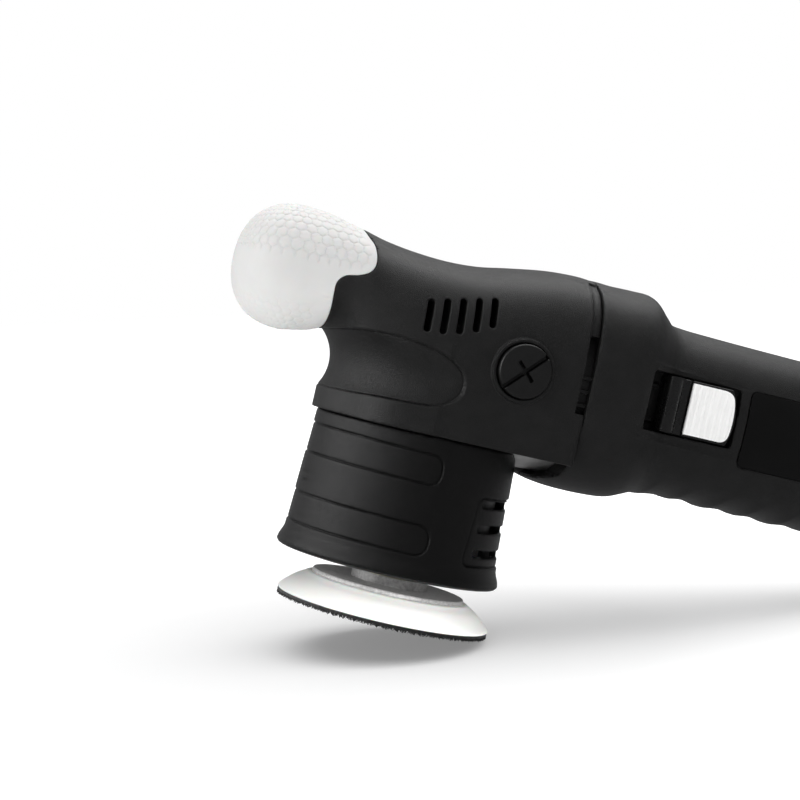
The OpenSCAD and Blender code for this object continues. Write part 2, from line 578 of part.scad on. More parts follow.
// ---- slide switch ---------------------------------------------------------------------
slide_z = [84, 103.6];
module switch_slider() color([0.07, 0.07, 0.07]) {
    block([slider_x[0], pocket_floor - 5.2, slide_z[0]], [slider_x[1], pocket_floor - 0.3, slide_z[1]]);
    intersection() {
        translate([slider_x[0] + 5, pocket_floor - 3.6, slide_z[0]])
            cylinder(r = 4.8, h = slide_z[1] - slide_z[0]);
        block([60, -60, 60], [120, pocket_floor - 0.3, 120]);
    }
    block([91, pocket_floor - 0.4, 90], [97, -17, 97.4]);
}
module switch_thumb_pad() color([0.92, 0.92, 0.9]) difference() {
    block([slider_x[0] + 10, pocket_floor - 6.6, slide_z[0] + 0.8],
          [slider_x[1] - 0.6, pocket_floor - 5.2, slide_z[1] - 0.8]);
    for (i = [0:6]) translate([slider_x[0] + 11.6 + i * 2.5, pocket_floor - 7, slide_z[0] - 1])
        cylinder(r = 0.8, h = 30, $fn = 16);
}
module switch_rod() color([0.3, 0.3, 0.3]) {
    block([91, -17, 90.4], [97, -14.6, 97]);
    block([91.5, -14.7, 92], [107.6, -12.4, 95.4]);
}
module switch_body() color([0.18, 0.18, 0.2]) difference() {
    block([116, -18, 82], [143, 10, 104]);
    block([115, -16, 91], [122, -11, 96.4]);
}
// ---- speed control, terminals and cord inlet --------------------------------------------
module speed_module() color([0.1, 0.2, 0.14]) difference() {
    block([172, -15, 74], [200, 15, 100]);
    for (i = [0:4]) block([174 + i * 5, -16, 98], [177 + i * 5, 16, 101]);
}
module speed_dial() color([0.1, 0.1, 0.1]) translate([dial_x, 0, dial_z]) rotate([90, 0, 0]) {
    difference() {
        translate([0, 0, -3.6]) cylinder(r = dial_r, h = 7.2);
        for (i = [0:23]) rotate([0, 0, i * 15]) translate([dial_r, 0, -5])
            cylinder(r = 0.7, h = 10, $fn = 16);
    }
    translate([0, 0, -7]) cylinder(r = 2, h = 14);
}
module terminal_block() color([0.85, 0.83, 0.76]) difference() {
    block([150, -9, 72], [168, 9, 84]);
    for (i = [0:2]) translate([154 + i * 5, 0, 76]) cylinder(r = 1.6, h = 20);
}
module cord_clamp() color([0.15, 0.15, 0.15]) difference() {
    block([203, -12, gland_z - 12], [211, 12, gland_z - 5.2]);
    for (y = [-9, 9]) translate([207, y, 0]) disc(1.6, 60, 100);
}
module clamp_screws() color([0.6, 0.6, 0.6]) for (y = [-9, 9])
    translate([207, y, gland_z - 5.2]) pan_screw(2.6, 5);
module cord_gland() color([0.08, 0.08, 0.08]) translate([handle_end, 0, gland_z])
rotate([0, 90, 0]) difference() {
    union() {
        disc(8, -24, 4);
        disc(10.4, 0.1, 2.4);
        translate([0, 0, 4]) cylinder(r1 = 8, r2 = 6.6, h = 8);
    }
    disc(gland_bore, -30, 20);
}

hook_face();
foam_pad();
backing_disc();
pad_hub();
hub_washer();
pad_spindle();
pad_bearing_inner();
pad_bearing_outer();
eccentric_hub();
counterweight();
counterweight_screws();
bearing_circlip();
drive_spindle();
crown_gear();
gear_nut();
spindle_bearing_inner();
spindle_bearing_outer();
bearing_retainer();
retainer_screws();
gear_case();
shroud();
shroud_screws();
head_cover();
front_grip();
motor_barrel();
stator_core();
field_coils();
motor_end_plate();
motor_screws();
armature_shaft();
armature_core();
armature_windings();
commutator();
pinion();
cooling_fan();
motor_bearing_inner();
motor_bearing_outer();
brush_holders();
carbon_brushes();
brush_springs();
brush_cap_right();
brush_cap_left();
handle_right();
handle_left();
handle_screws();
label_plate_right();
label_plate_left();
switch_slider();
switch_thumb_pad();
switch_rod();
switch_body();
speed_module();
speed_dial();
terminal_block();
cord_clamp();
clamp_screws();
cord_gland();
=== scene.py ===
"""Dual action polisher: smooth mouldings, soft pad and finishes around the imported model.

Shapes are signed distances in millimetres, negative inside, and become meshes in metres.
"""
import itertools
import json
import math

import bmesh
import bpy
import numpy as np
from mathutils import Matrix, Vector


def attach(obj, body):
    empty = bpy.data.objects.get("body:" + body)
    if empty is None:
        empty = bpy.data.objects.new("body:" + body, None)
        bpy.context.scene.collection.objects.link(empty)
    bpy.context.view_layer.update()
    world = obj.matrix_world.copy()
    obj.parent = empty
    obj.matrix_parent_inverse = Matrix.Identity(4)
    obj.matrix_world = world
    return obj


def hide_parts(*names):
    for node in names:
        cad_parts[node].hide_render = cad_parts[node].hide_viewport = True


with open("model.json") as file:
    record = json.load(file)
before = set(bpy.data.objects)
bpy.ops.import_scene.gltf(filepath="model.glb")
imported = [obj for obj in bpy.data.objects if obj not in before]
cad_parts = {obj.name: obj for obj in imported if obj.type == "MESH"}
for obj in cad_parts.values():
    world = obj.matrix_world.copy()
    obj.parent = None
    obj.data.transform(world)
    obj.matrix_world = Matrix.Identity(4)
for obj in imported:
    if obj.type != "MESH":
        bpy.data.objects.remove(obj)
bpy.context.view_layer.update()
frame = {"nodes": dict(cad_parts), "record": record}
nodes = frame["nodes"]
COARSE = 1.0
MM = 0.001
MOTOR_Z = 93.3                  # height of the motor's axis and of the brush caps


# ---- distance helpers ---------------------------------------------------------
def smax(a, b, k):
    h = np.maximum(k - np.abs(a - b), 0) / k
    return np.maximum(a, b) + h * h * k / 4


def smin(a, b, k):
    return -smax(-a, -b, k)


def ramp(a, b, x):
    t = np.clip((x - a) / (b - a), 0, 1)
    return t * t * (3 - 2 * t)


def bump(x, width):
    return np.exp(-(x / width) ** 2)


def box(p, lo, hi):
    return np.maximum.reduce(np.broadcast_arrays(*[np.maximum(l - v, v - h) for v, l, h in zip(p, lo, hi)]))


def round_rect(u, v, lo, hi, r):
    a = np.abs(u - (lo[0] + hi[0]) / 2) - (hi[0] - lo[0]) / 2 + r
    b = np.abs(v - (lo[1] + hi[1]) / 2) - (hi[1] - lo[1]) / 2 + r
    return np.hypot(np.maximum(a, 0), np.maximum(b, 0)) + np.minimum(np.maximum(a, b), 0) - r


def capsule(u, v, a, b, r):
    du, dv = b[0] - a[0], b[1] - a[1]
    t = np.clip(((u - a[0]) * du + (v - a[1]) * dv) / (du * du + dv * dv), 0, 1)
    return np.hypot(u - a[0] - t * du, v - a[1] - t * dv) - r


def outline(points):
    """Signed distance to a closed outline in a plane."""
    pts = np.array(points, float)
    ends = np.roll(pts, -1, 0)

    def distance(u, v):
        u, v = np.broadcast_arrays(u, v)
        best = np.full(u.shape, 1e9)
        inside = np.zeros(u.shape, bool)
        for (au, av), (bu, bv) in zip(pts, ends):
            best = np.minimum(best, capsule(u, v, (au, av), (bu, bv), 0))
            if av != bv:
                inside ^= ((av > v) != (bv > v)) & (u < (bu - au) * (v - av) / (bv - av) + au)
        return np.where(inside, -best, best)

    return distance


def curve(points, steps=6, closed=True):
    """Catmull-Rom points through the given ones."""
    pts = np.array(points, float)
    n = len(pts)
    out = []
    for i in range(n if closed else n - 1):
        p, q, r, s = (pts[j % n] if closed else pts[min(max(j, 0), n - 1)] for j in (i - 1, i, i + 1, i + 2))
        for t in np.arange(steps) / steps:
            out.append(0.5 * (2 * q + (r - p) * t + (2 * p - 5 * q + 4 * r - s) * t * t
                              + (3 * q - p - 3 * r + s) * t ** 3))
    return np.array(out if closed else out + [pts[-1]])


def loft(rows, p, nose=None):
    """Superellipse sections along x. Rows are [x, half width, bottom, top, squareness]."""
    x, y, z = p
    w, bottom, top, e = (np.interp(x, rows[:, 0], rows[:, i]) for i in (1, 2, 3, 4))
    h, c = (top - bottom) / 2, (top + bottom) / 2
    ay, az = np.abs(y) / w + 1e-5, np.abs(z - c) / h + 1e-5
    total = ay ** e + az ** e
    slope = (ay ** (e - 1) / w) ** 2 + (az ** (e - 1) / h) ** 2
    if nose is not None:
        ax = np.maximum(nose[0] - x, 0) / nose[1]
        total = total + ax ** e
        slope = slope + (ax ** (e - 1) / nose[1]) ** 2
    r = total ** (1 / e)
    return (r - 1) / (r / total * np.sqrt(slope) + 1e-6)


# ---- from distances to meshes ----------------------------------------------------
def surface(field, lo, hi, step):
    """Closed quad mesh of field = 0, one vertex in each crossed cell."""
    axes = [np.arange(l - 2.01 * step, h + 2.5 * step, step) for l, h in zip(lo, hi)]
    f = field((axes[0][:, None, None], axes[1][None, :, None], axes[2][None, None, :]))
    f = np.broadcast_to(f, [len(a) for a in axes])
    s = f < 0
    corners = list(itertools.product((0, 1), repeat=3))
    cells = [n - 1 for n in s.shape]
    part = lambda a, c: a[c[0]:cells[0] + c[0], c[1]:cells[1] + c[1], c[2]:cells[2] + c[2]]
    count = sum(part(s, c).astype(np.int8) for c in corners)
    active = (count > 0) & (count < 8)
    index = np.full(active.shape, -1, np.int64)
    spots = np.argwhere(active)
    index[active] = np.arange(len(spots))
    total, hits = np.zeros((len(spots), 3)), np.zeros(len(spots))
    for a, b in itertools.combinations(corners, 2):
        if sum(abs(i - j) for i, j in zip(a, b)) != 1:
            continue
        fa, fb = f[tuple((spots + a).T)], f[tuple((spots + b).T)]
        m = (fa < 0) != (fb < 0)
        t = (fa[m] / (fa[m] - fb[m]))[:, None]
        total[m] += np.array(a) + t * (np.array(b) - np.array(a))
        hits[m] += 1
    verts = (spots + total / hits[:, None]) * step + np.array([a[0] for a in axes])
    faces = []
    for axis in range(3):
        u, v = (axis + 1) % 3, (axis + 2) % 3
        lower, upper = [slice(1, -1)] * 3, [slice(1, -1)] * 3
        lower[axis], upper[axis] = slice(0, -1), slice(1, None)
        cross = np.argwhere(s[tuple(lower)] != s[tuple(upper)])
        at = cross + np.array([0 if i == axis else 1 for i in range(3)])
        quad = []
        for du, dv in ((-1, -1), (0, -1), (0, 0), (-1, 0)):
            q = at.copy()
            q[:, u] += du
            q[:, v] += dv
            quad.append(index[tuple(q.T)])
        quad = np.stack(quad, 1)
        flip = ~s[tuple(at.T)]
        quad[flip] = quad[flip][:, ::-1]
        faces.append(quad)
    return verts, np.concatenate(faces)


def settle(field, verts, rounds, limit):
    """Moves the vertices onto field = 0."""
    for _ in range(rounds):
        f = field(tuple(verts.T))
        grad = np.stack([field(tuple((verts + d).T)) - f for d in np.eye(3) * 0.04], 1) / 0.04
        size = (grad * grad).sum(1)
        move = -grad * (f / np.maximum(size, 0.25))[:, None]
        length = np.linalg.norm(move, axis=1)
        verts = verts + move * np.minimum(1, limit / np.maximum(length, 1e-9))[:, None]
    return verts


def refine(mesh, near, width):
    """Splits the edges that lie within width of a fine detail."""
    co = np.zeros(len(mesh.vertices) * 3)
    mesh.vertices.foreach_get("co", co)
    mark = near(tuple(co.reshape(-1, 3).T / MM)) < width
    bm = bmesh.new()
    bm.from_mesh(mesh)
    edges = [e for e in bm.edges if mark[e.verts[0].index] and mark[e.verts[1].index]]
    bmesh.ops.subdivide_edges(bm, edges=edges, cuts=1, use_grid_fill=True)
    bmesh.ops.triangulate(bm, faces=[f for f in bm.faces if len(f.verts) > 4])
    bm.to_mesh(mesh)
    bm.free()


def mesh_of(name, verts, faces):
    mesh = bpy.data.meshes.new(name)
    mesh.from_pydata((verts * MM).tolist(), [], faces.tolist())
    return mesh


def hollow(obj, cutter):
    """Takes a coarse cavity out of a closed piece."""
    tool = bpy.data.objects.new("cavity", cutter)
    bpy.context.scene.collection.objects.link(tool)
    cut = obj.modifiers.new("hollow", "BOOLEAN")
    cut.operation, cut.object, cut.solver = "DIFFERENCE", tool, "MANIFOLD"
    bpy.context.view_layer.update()
    made = bpy.data.meshes.new_from_object(obj.evaluated_get(bpy.context.evaluated_depsgraph_get()))
    obj.modifiers.clear()
    obj.data = made
    bpy.data.objects.remove(tool)


def soften(mesh, angle=42):
    mesh.shade_smooth()
    mesh.set_sharp_from_angle(angle=math.radians(angle))


def finish_piece(obj, body, replaced, slot):
    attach(obj, body)
    if replaced:
        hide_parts(*replaced)
    obj.data.materials.clear()
    obj.data.materials.append(finishes[slot])
    return obj


def moulding(name, field, lo, hi, step, slot, replaced=(), body="housing", near=None, widths=(),
             cavity=None, cavity_box=None, cavity_step=2.0, angle=42, extra=None):
    verts, faces = surface(field, lo, hi, step * COARSE)
    verts = settle(field, verts, 2, step * 0.5)
    mesh = mesh_of(name, verts, faces)
    for width in widths if COARSE == 1 else ():
        refine(mesh, near, width)
    co = np.zeros(len(mesh.vertices) * 3)
    mesh.vertices.foreach_get("co", co)
    verts = settle(field, co.reshape(-1, 3) / MM, 2, step * 0.3)
    mesh.vertices.foreach_set("co", (verts * MM).ravel())
    obj = bpy.data.objects.new(name, mesh)
    bpy.context.scene.collection.objects.link(obj)
    if cavity is not None:
        v, f = surface(cavity, *cavity_box, cavity_step)
        hollow(obj, mesh_of("cavity", settle(cavity, v, 2, cavity_step * 0.5), f))
    if extra is not None:
        v, f = surface(*extra)
        bm = bmesh.new()
        bm.from_mesh(obj.data)
        bm.from_mesh(mesh_of("rim", settle(extra[0], v, 2, 0.2), f))
        bm.to_mesh(obj.data)
        bm.free()
    soften(obj.data, angle)
    return finish_piece(obj, body, replaced, slot)


def lathe(name, profile, slot, replaced, body, centre, sides=160, angle=30):
    """A closed profile of (radius, height) turned about Z at the given centre."""
    a = np.arange(sides) * 2 * math.pi / sides
    pts = np.array(profile, float)
    n = len(pts)
    verts = np.array([[centre[0] + r * math.cos(t), centre[1] + r * math.sin(t), z]
                      for t in a for r, z in pts])
    faces = np.array([[i * n + j, ((i + 1) % sides) * n + j, ((i + 1) % sides) * n + (j + 1) % n,
                       i * n + (j + 1) % n] for i in range(sides) for j in range(n)])
    obj = bpy.data.objects.new(name, mesh_of(name, verts, faces))
    bpy.context.scene.collection.objects.link(obj)
    bm = bmesh.new()
    bm.from_mesh(obj.data)
    bmesh.ops.remove_doubles(bm, verts=bm.verts, dist=1e-7)
    bmesh.ops.recalc_face_normals(bm, faces=bm.faces)
    bm.to_mesh(obj.data)
    bm.free()
    soften(obj.data, angle)
    return finish_piece(obj, body, replaced, slot)


# ---- finishes ---------------------------------------------------------------------
def finish(name, low, high, rough=(0.4, 0.5), metal=0.0, mottle=90, grain=1500, depth=0.02,
           stretch=(1, 1, 1), specular=0.5, coat=0.0, sheen=0.0, fine=0.0, rings=None, soft=0.0):
    """A procedural finish: mottled colour and gloss, and a grain that stands depth mm proud."""
    m = bpy.data.materials.new(name)
    m.use_nodes = True
    tree = m.node_tree
    shader = tree.nodes["Principled BSDF"]
    link = tree.links.new

    def add(kind, **values):
        n = tree.nodes.new(kind)
        for k, v in values.items():
            n.inputs[k].default_value = v
        return n

    place = add("ShaderNodeTexCoord")
    spread = add("ShaderNodeMapping", Scale=stretch)
    link(place.outputs["Object"], spread.inputs["Vector"])
    cloud = add("ShaderNodeTexNoise", Scale=mottle, Detail=4.0, Roughness=0.6)
    link(spread.outputs["Vector"], cloud.inputs["Vector"])
    source = cloud.outputs["Fac"]
    tint = add("ShaderNodeValToRGB")
    tint.color_ramp.elements[0].position, tint.color_ramp.elements[1].position = 0.3, 0.7
    tint.color_ramp.elements[0].color = (*low, 1)
    tint.color_ramp.elements[1].color = (*high, 1)
    link(source, tint.inputs["Fac"])
    link(tint.outputs["Color"], shader.inputs["Base Color"])
    gloss = add("ShaderNodeMapRange")
    gloss.inputs["From Min"].default_value, gloss.inputs["From Max"].default_value = 0.3, 0.7
    gloss.inputs["To Min"].default_value, gloss.inputs["To Max"].default_value = rough
    link(source, gloss.inputs["Value"])
    link(gloss.outputs["Result"], shader.inputs["Roughness"])
    pits = add("ShaderNodeTexNoise", Scale=grain, Detail=3.0, Roughness=0.65)
    link(spread.outputs["Vector"], pits.inputs["Vector"])
    height = pits.outputs["Fac"]
    if rings is not None:
        wave = add("ShaderNodeTexWave", Scale=rings[1], Distortion=0.4)
        wave.wave_type, wave.bands_direction = "BANDS", rings[0]
        link(place.outputs["Object"], wave.inputs["Vector"])
        mix = add("ShaderNodeMath")
        mix.operation = "ADD"
        link(height, mix.inputs[0])
        link(wave.outputs["Fac"], mix.inputs[1])
        height = mix.outputs["Value"]
    relief = add("ShaderNodeBump", Strength=1.0, Distance=depth * MM)
    link(height, relief.inputs["Height"])
    if fine:
        specks = add("ShaderNodeTexVoronoi", Scale=grain * 1.6)
        link(spread.outputs["Vector"], specks.inputs["Vector"])
        second = add("ShaderNodeBump", Strength=1.0, Distance=fine * MM)
        link(specks.outputs["Distance"], second.inputs["Height"])
        link(relief.outputs["Normal"], second.inputs["Normal"])
        relief = second
    link(relief.outputs["Normal"], shader.inputs["Normal"])
    shader.inputs["Metallic"].default_value = metal
    shader.inputs["Specular IOR Level"].default_value = specular
    shader.inputs["Coat Weight"].default_value = coat
    shader.inputs["Sheen Weight"].default_value = sheen
    shader.inputs["Subsurface Weight"].default_value = soft
    shader.inputs["Subsurface Scale"].default_value = 0.004
    return m


def grey(v, warm=0.0):
    return (v * (1 + warm), v, v * (1 - warm))


finishes = {
    "cover_plastic": finish("cover_plastic", grey(0.0075), grey(0.0105), (0.34, 0.38), mottle=140,
                            grain=3000, depth=0.19, fine=0.07, specular=0.31),
    "shroud_plastic": finish("shroud_plastic", grey(0.0022), grey(0.0034), (0.17, 0.21), mottle=160,
                             grain=3000, depth=0.16, fine=0.065, specular=0.27),
    "cap_plastic": finish("cap_plastic", grey(0.004), grey(0.006), (0.34, 0.40), mottle=200,
                          grain=2200, depth=0.06, specular=0.4),
    "inner_plastic": finish("inner_plastic", grey(0.02), grey(0.03), (0.42, 0.52), grain=1800, depth=0.012,
                            specular=0.35),
    "gloss_black": finish("gloss_black", grey(0.004), grey(0.006), (0.24, 0.32), mottle=220,
                          grain=2600, depth=0.008, specular=0.45),
    "label_film": finish("label_film", grey(0.002), grey(0.003), (0.46, 0.54), mottle=60, grain=3000,
                         depth=0.003, specular=0.2),
    "white_rubber": finish("white_rubber", (0.66, 0.66, 0.65), (0.70, 0.70, 0.69), (0.52, 0.62),
                           mottle=70, grain=1600, depth=0.012, specular=0.35, soft=0.15),
    "white_plastic": finish("white_plastic", (0.92, 0.92, 0.91), (0.95, 0.95, 0.94), (0.38, 0.46),
                            mottle=120, grain=2000, depth=0.006),
    "pu_foam": finish("pu_foam", (0.93, 0.92, 0.88), (0.97, 0.965, 0.94), (0.5, 0.62), mottle=55,
                      grain=1400, depth=0.016, soft=0.2),
    "hook_fabric": finish("hook_fabric", grey(0.006), grey(0.020), (0.6, 0.8), mottle=900, grain=2500,
                          depth=0.08, sheen=0.15),
    "grey_steel": finish("grey_steel", grey(0.26, 0.01), grey(0.48, 0.01), (0.4, 0.55), metal=0.25,
                         mottle=900, grain=1800, depth=0.03),
    "nylon": finish("nylon", (0.55, 0.52, 0.33), (0.72, 0.69, 0.50), (0.3, 0.42), metal=0.75, mottle=160,
                    grain=1500, depth=0.008),
    "steel": finish("steel", grey(0.55), grey(0.68), (0.22, 0.34), metal=1.0, mottle=200, grain=1200,
                    depth=0.006, stretch=(1, 1, 6)),
    "bearing_steel": finish("bearing_steel", grey(0.6), grey(0.72), (0.16, 0.28), metal=1.0, mottle=150,
                            grain=900, depth=0.004, stretch=(1, 1, 8)),
    "bearing_seal": finish("bearing_seal", grey(0.02), grey(0.035), (0.5, 0.62), mottle=300, grain=1700,
                           depth=0.014),
    "cast_aluminium": finish("cast_aluminium", grey(0.34), grey(0.44), (0.5, 0.6), metal=0.55,
                             mottle=180, grain=1300, depth=0.03),
    "machined_steel": finish("machined_steel", grey(0.55), grey(0.70), (0.2, 0.32), metal=1.0,
                             mottle=120, grain=1600, depth=0.006, rings=("Z", 700)),
    "bright_screws": finish("bright_screws", grey(0.62), grey(0.76), (0.18, 0.28), metal=1.0, mottle=300,
                            grain=1500, depth=0.004),
    "black_steel": finish("black_steel", grey(0.03), grey(0.06), (0.36, 0.48), metal=1.0, mottle=260,
                          grain=1500, depth=0.008),
    "gear_steel": finish("gear_steel", grey(0.33, 0.03), grey(0.44, 0.03), (0.28, 0.4), metal=1.0,
                         mottle=260, grain=1200, depth=0.008),
    "core_steel": finish("core_steel", grey(0.20), grey(0.30), (0.38, 0.5), metal=1.0, mottle=200,
                         grain=900, depth=0.03, rings=("X", 320)),
    "copper": finish("copper", (0.45, 0.16, 0.07), (0.62, 0.26, 0.12), (0.26, 0.38), metal=1.0,
                     mottle=160, grain=900, depth=0.09, rings=("DIAGONAL", 300)),
    "brass": finish("brass", (0.55, 0.40, 0.16), (0.68, 0.52, 0.24), (0.26, 0.38), metal=1.0, mottle=180,
                    grain=1300, depth=0.008),
    "carbon": finish("carbon", grey(0.018), grey(0.035), (0.5, 0.62), metal=0.2, mottle=400, grain=1700,
                     depth=0.02),
    "circuit_resin": finish("circuit_resin", (0.012, 0.03, 0.02), (0.02, 0.05, 0.032), (0.25, 0.4),
                            mottle=160, grain=1100, depth=0.02),
    "gland_rubber": finish("gland_rubber", grey(0.012), grey(0.02), (0.5, 0.6), mottle=150, grain=1800,
                           depth=0.02, specular=0.35),
}
for entry in frame["record"]["subparts"]:
    node = nodes.get(entry.get("node", entry.get("name")))
    if node is None:
        continue
    slot = entry.get("material", entry.get("material_slot"))
    node.data.materials.clear()
    node.data.materials.append(finishes[slot])
    node.data.shade_smooth()
    node.data.set_sharp_from_angle(angle=math.radians(30))

# ---- head cover and front grip ----------------------------------------------------------
HEAD = curve([
    [-57, 27.6, 88.7, 131.95, 2.25], [-56, 27.6, 88.7, 131.95, 2.25], [-48, 27.8, 90.3, 131.3, 2.3],
    [-42, 28.4, 91.8, 129.8, 2.4], [-36, 30, 86, 128.5, 2.5], [-28, 32.6, 70, 126.6, 2.7],
    [-18, 35.4, 56, 125.2, 3], [-6, 36.8, 48, 124.6, 3.2], [6, 37.2, 46, 125.4, 3.2],
    [18, 37.2, 46, 127.6, 3.2], [30, 37.2, 46, 129.6, 3.2], [40, 37.2, 46, 130.3, 3.2],
    [46, 37.2, 46, 130, 3.2]], 8, False)
OVAL = outline(curve([
    [-64, 90.8], [-47, 91.1], [-42.5, 92.3], [-38.6, 93.7], [-32.9, 94.9], [-21.4, 95.3], [-9.3, 93.6],
    [-1.2, 90], [2.4, 85.2], [1.6, 79.9], [-4.9, 75.6], [-13.6, 74.6], [-23.6, 74.2], [-38, 73.3],
    [-64, 73.1]], 5))
GRIP = outline(curve([
    [-95, 70], [-42.2, 70], [-42.6, 80], [-43.6, 91], [-44.8, 99], [-45.8, 106], [-45.2, 109], [-43, 111],
    [-38.8, 112.1], [-35.2, 114.3], [-33.9, 118], [-34.6, 123], [-37, 127.5], [-38.5, 140],
    [-95, 142]], 5))
VENTS = [((-14.2 + 5.45 * i, 100 + 0.38 * i * i), (-14.2 + 5.45 * i, 108.6 + 1.3 * i)) for i in range(5)]
VENT_R = 1.15
DEEP = 25
CAP_AT = (21.1, MOTOR_Z)
NOSE = (-57, 19.4)              # where the rounded front end starts, and its length


def ring_cut(p):
    """The round waist under the knob."""
    x, y, z = p
    tube = 14.9 - 1.2 * ramp(-16, 1, x)
    return np.hypot(np.hypot(x, y * 38 / 37.2) - 50.5, z - 81.3) - tube


def head_outer(p):
    x, y, z = p
    body = loft(HEAD, (x, y, np.maximum(z, 76)), NOSE)
    collar = np.maximum((np.hypot(x / 38, y / 37.2) - 1) * 37.5, z - 96)
    body = smin(body, np.maximum(collar, x + 4), 0.8)
    oval = OVAL(x, z)
    side = loft(HEAD, (x, y, np.maximum(z, 97)))
    scoop = smax(side + 0.25 + 2.2 * ramp(0, 10, -oval), -ring_cut(p), 2.0)
    return np.where(oval < 0, scoop, body)


def head_skin(p):
    x, y, z = p
    body = head_outer(p)
    body = body + 0.42 * bump(OVAL(x, z), 0.3) * (x > -46.5)
    step = ramp(42.1, 42.7, x) * ramp(83, 84, z) * (np.abs(y) > 20)
    boss = np.maximum(np.hypot(x - CAP_AT[0], z - CAP_AT[1]) - 10.9, np.abs(y) - 38.4)
    body = body + 0.75 * step
    return np.where(np.abs(y) > 32, smin(body, smax(boss, 32 - np.abs(y), 0.9), 0.7), body)


def grip_core(p):
    x, y, z = p
    return np.maximum(np.maximum(loft(HEAD, p, NOSE) + 3.3, x + 34), 0.5 - ring_cut(p))


def head_field(p):
    x, y, z = p
    grip = GRIP(x, z)
    d = smax(head_skin(p), 0.14 - grip, 0.5)
    d = np.minimum(d, grip_core(p))
    d = smax(d, 65.55 - z, 0.5)
    d = smax(d, x - 45.85, 0.5)
    deep = DEEP - np.abs(y)
    for a, b in VENTS:
        d = smax(d, -np.maximum(capsule(x, z, a, b, VENT_R), deep), 0.55)
    port = np.hypot(x - CAP_AT[0], z - CAP_AT[1])
    d = smax(d, -np.maximum(port - 9.6, deep), 0.5)
    slot = round_rect(x, z, (42.4, 83.5), (60, 110), 0.5)
    return smax(d, -np.maximum(slot, deep), 0.4)


def head_details(p):
    x, y, z = p
    out = np.where(x > -47, np.abs(OVAL(x, z)), 9)
    for a, b in VENTS:
        out = np.minimum(out, np.abs(capsule(x, z, a, b, VENT_R)) - 0.2)
    out = np.minimum(out, np.abs(np.hypot(x - CAP_AT[0], z - CAP_AT[1]) - 10.4) - 1.2)
    out = np.where(np.abs(y) < 14, 9, out)
    front = np.where(np.abs(y) < 14, np.abs(OVAL(x, z)) + (x < -47) * 9, 9)
    return np.minimum(np.minimum(out, front), np.abs(GRIP(x, z)) + 0.2)


# The cover is a solid moulding here: its vents, ports and slots end DEEP mm from the middle.
moulding("head_cover_skin", head_field, (-73.5, -38, 65.5), (46, 38, 131), 0.8, "cover_plastic",
         ["head_cover"], near=head_details, widths=(1.3, 0.8))


def hexagons(p):
    """Depth of the grooves between raised hexagons that run in rows round the knob."""
    x, y, z = p
    back = np.maximum(x + 57, 0)
    ahead = np.minimum(x + 57, 0)
    out = np.hypot(ahead, y)
    v = 24.0 * np.arctan2(z - 110.4, out)
    u = back - 22.5 * np.arctan2(-ahead, np.abs(y) + 1e-6)
    pitch, row = 3.62, 3.62 * math.sqrt(3) / 2
    edge = np.full(np.shape(u + v), -9.0)
    for k in (0, 1):
        j = 2 * np.round((v / row - k) / 2) + k
        i = np.round(u / pitch - 0.5 * k)
        du, dv = np.abs(u - (i + 0.5 * k) * pitch), np.abs(v - j * row)
        edge = np.maximum(edge, pitch / 2 - np.maximum(du, du / 2 + dv * math.sqrt(3) / 2))
    groove = 1 - ramp(0.02, 0.42, edge)
    swell = 1 - ramp(0.0, 1.6, edge)
    middle = 112.6 - 0.5 * ramp(-50, -34, x)
    band = ramp(middle - 0.3, middle + 1.2, z) + 0.55 * ramp(99.8, 97.0, z) * ramp(-48.5, -51, x)
    return (0.28 * groove + 0.10 * swell) * band


def grip_field(p):
    x, y, z = p
    body = loft(HEAD, p, NOSE)
    grip = GRIP(x, z)
    body = body + hexagons(p) * ramp(-1.6, -2.8, grip) + 0.18 * bump(z - 102.6, 0.25) * ramp(-50, -48.6, x)
    return smax(body, grip, 0.7)


grip = moulding("front_grip_skin", grip_field, (-77, -29, 88), (-33, 29, 133), 0.42, "white_rubber",
                ["front_grip"], cavity=lambda p: grip_core(p) - 0.06,
                cavity_box=((-74, -26, 90), (-33, 26, 130)), cavity_step=1.5)

# ---- shroud ----------------------------------------------------------------------------
SHROUD = outline([
    [36.6, 17.0], [37.6, 16.8], [38.8, 17.0], [39.6, 18.0], [39.2, 19.8], [38.4, 21.6], [37.9, 23.0],
    [35.9, 64.75], [35.5, 65.35], [27.2, 65.35], [27.2, 62.35], [33.2, 62.35], [35.2, 22.8]])


def shroud_marks(p):
    """Edges of the two recessed bands, the louvre panel and the catch, in mm round the skirt."""
    x, y, z = p
    round_ = 37 * np.arctan2(np.abs(y), -x)
    reach = 37 * math.radians(93)
    drop = 0.9 * np.cos(round_ / 37)
    band1 = round_rect(round_, z - 0.9 * np.clip(drop, 0, 1), (-90, 49.3), (reach, 59.4), 4)
    band2 = round_rect(round_, z - 0.5 * np.clip(drop, 0, 1), (-90, 25.4), (reach + 0.4, 35.6), 4.4)
    behind = 37 * math.pi - round_
    panel = round_rect(behind - (z - 40) * -0.13, z, (-90, 25.0), (37 * math.radians(61.6), 48.6), 3)
    catch = round_rect(round_, z, (-90, 40.6), (7.6, 43.4), 0.6)
    return band1, band2, panel, catch, behind


